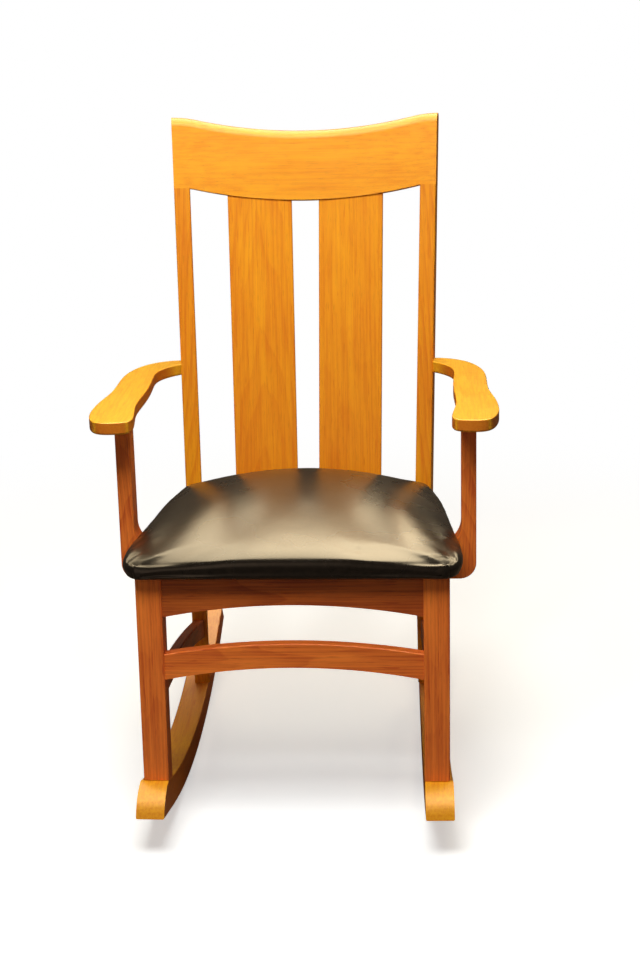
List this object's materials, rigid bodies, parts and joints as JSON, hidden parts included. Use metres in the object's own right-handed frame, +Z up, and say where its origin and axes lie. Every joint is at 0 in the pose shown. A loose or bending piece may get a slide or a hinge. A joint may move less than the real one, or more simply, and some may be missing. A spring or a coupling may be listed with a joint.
{
  "type": "rocking chair",
  "caption": "Wooden rocking chair with a curved crest rail, two broad back slats, swept arms and a padded leather seat.",
  "frame": {"origin": "on the floor at the middle of the rockers' footprint, which is where the chair touches the floor at rest", "axes": "+Z up, -Y the way the sitter faces, +X to the right as a viewer faces the front"},
  "size_m": [0.675, 0.7698, 1.0905],
  "materials": {
    "hickory": "satin amber lacquer",
    "bare_wood": "unfinished",
    "plywood": "unfinished",
    "black_leather": "semi-gloss",
    "foam": "matt",
    "dust_cloth": "matt",
    "screw_steel": "zinc plated"
  },
  "bodies": {
    "root": {"right_rocker": "hickory", "left_rocker": "hickory", "right_front_leg": "hickory", "left_front_leg": "hickory", "right_back_post": "hickory", "left_back_post": "hickory", "crest_rail": "hickory", "right_back_slat": "hickory", "left_back_slat": "hickory", "front_rail": "hickory", "front_stretcher": "hickory", "rear_rail": "hickory", "right_side_rail": "hickory", "left_side_rail": "hickory", "right_side_stretcher": "hickory", "left_side_stretcher": "hickory", "right_arm": "hickory", "left_arm": "hickory", "right_arm_support": "hickory", "left_arm_support": "hickory", "right_front_corner_block": "bare_wood", "left_front_corner_block": "bare_wood", "right_rear_corner_block": "bare_wood", "left_rear_corner_block": "bare_wood", "seat_board": "plywood", "seat_foam": "foam", "seat_cover": "black_leather", "dust_cover": "dust_cloth", "rocker_dowels": "bare_wood", "arm_dowels": "bare_wood", "arm_screws": "screw_steel", "support_screws": "screw_steel", "seat_screws": "screw_steel"}
  },
  "joints": []
}
